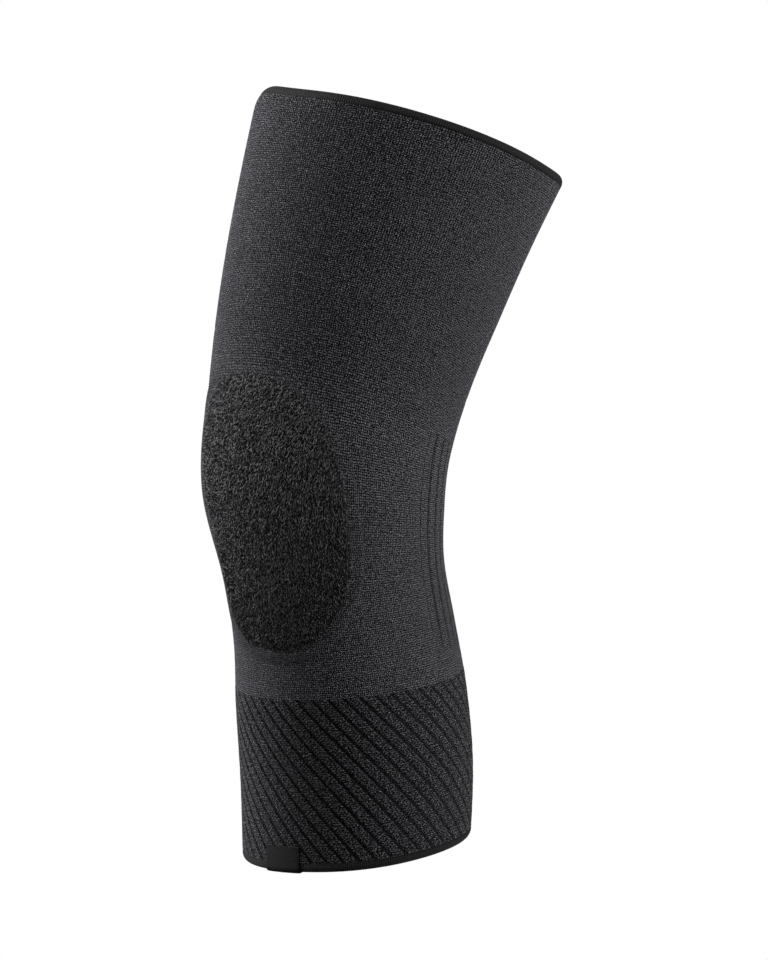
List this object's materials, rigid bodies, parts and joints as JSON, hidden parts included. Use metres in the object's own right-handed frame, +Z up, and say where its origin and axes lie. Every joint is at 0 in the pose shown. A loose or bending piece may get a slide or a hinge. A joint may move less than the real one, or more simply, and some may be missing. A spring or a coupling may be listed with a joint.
{
  "type": "knee compression sleeve",
  "caption": "Knitted tube worn over a slightly bent knee, with a plush kneecap pad, a ribbed panel behind the knee, a slant-ribbed calf cuff, bound rims and a bare hem tab.",
  "frame": {"origin": "middle of the knee in the leg hollow, where the sleeve sits on the leg's axis", "axes": "+Z up along the leg, -Y towards the kneecap, +X to the side that the cuff's ribs run towards as they go down at the front"},
  "size_m": [0.1402, 0.1772, 0.3477],
  "materials": {
    "plain_knit": "fine plain knit",
    "plush": "looped plush",
    "panel_knit": "fine knit with upright ribs",
    "rib_knit": "knit with slanted ribs",
    "binding_tape": "smooth elastic tape",
    "label_tape": "woven tape"
  },
  "bodies": {
    "root": {"knit_sleeve": "plain_knit", "patella_pad": "plush", "back_panel": "panel_knit", "rib_cuff": "rib_knit", "top_binding": "binding_tape", "bottom_binding": "binding_tape", "label_tab": "label_tape"}
  },
  "joints": []
}
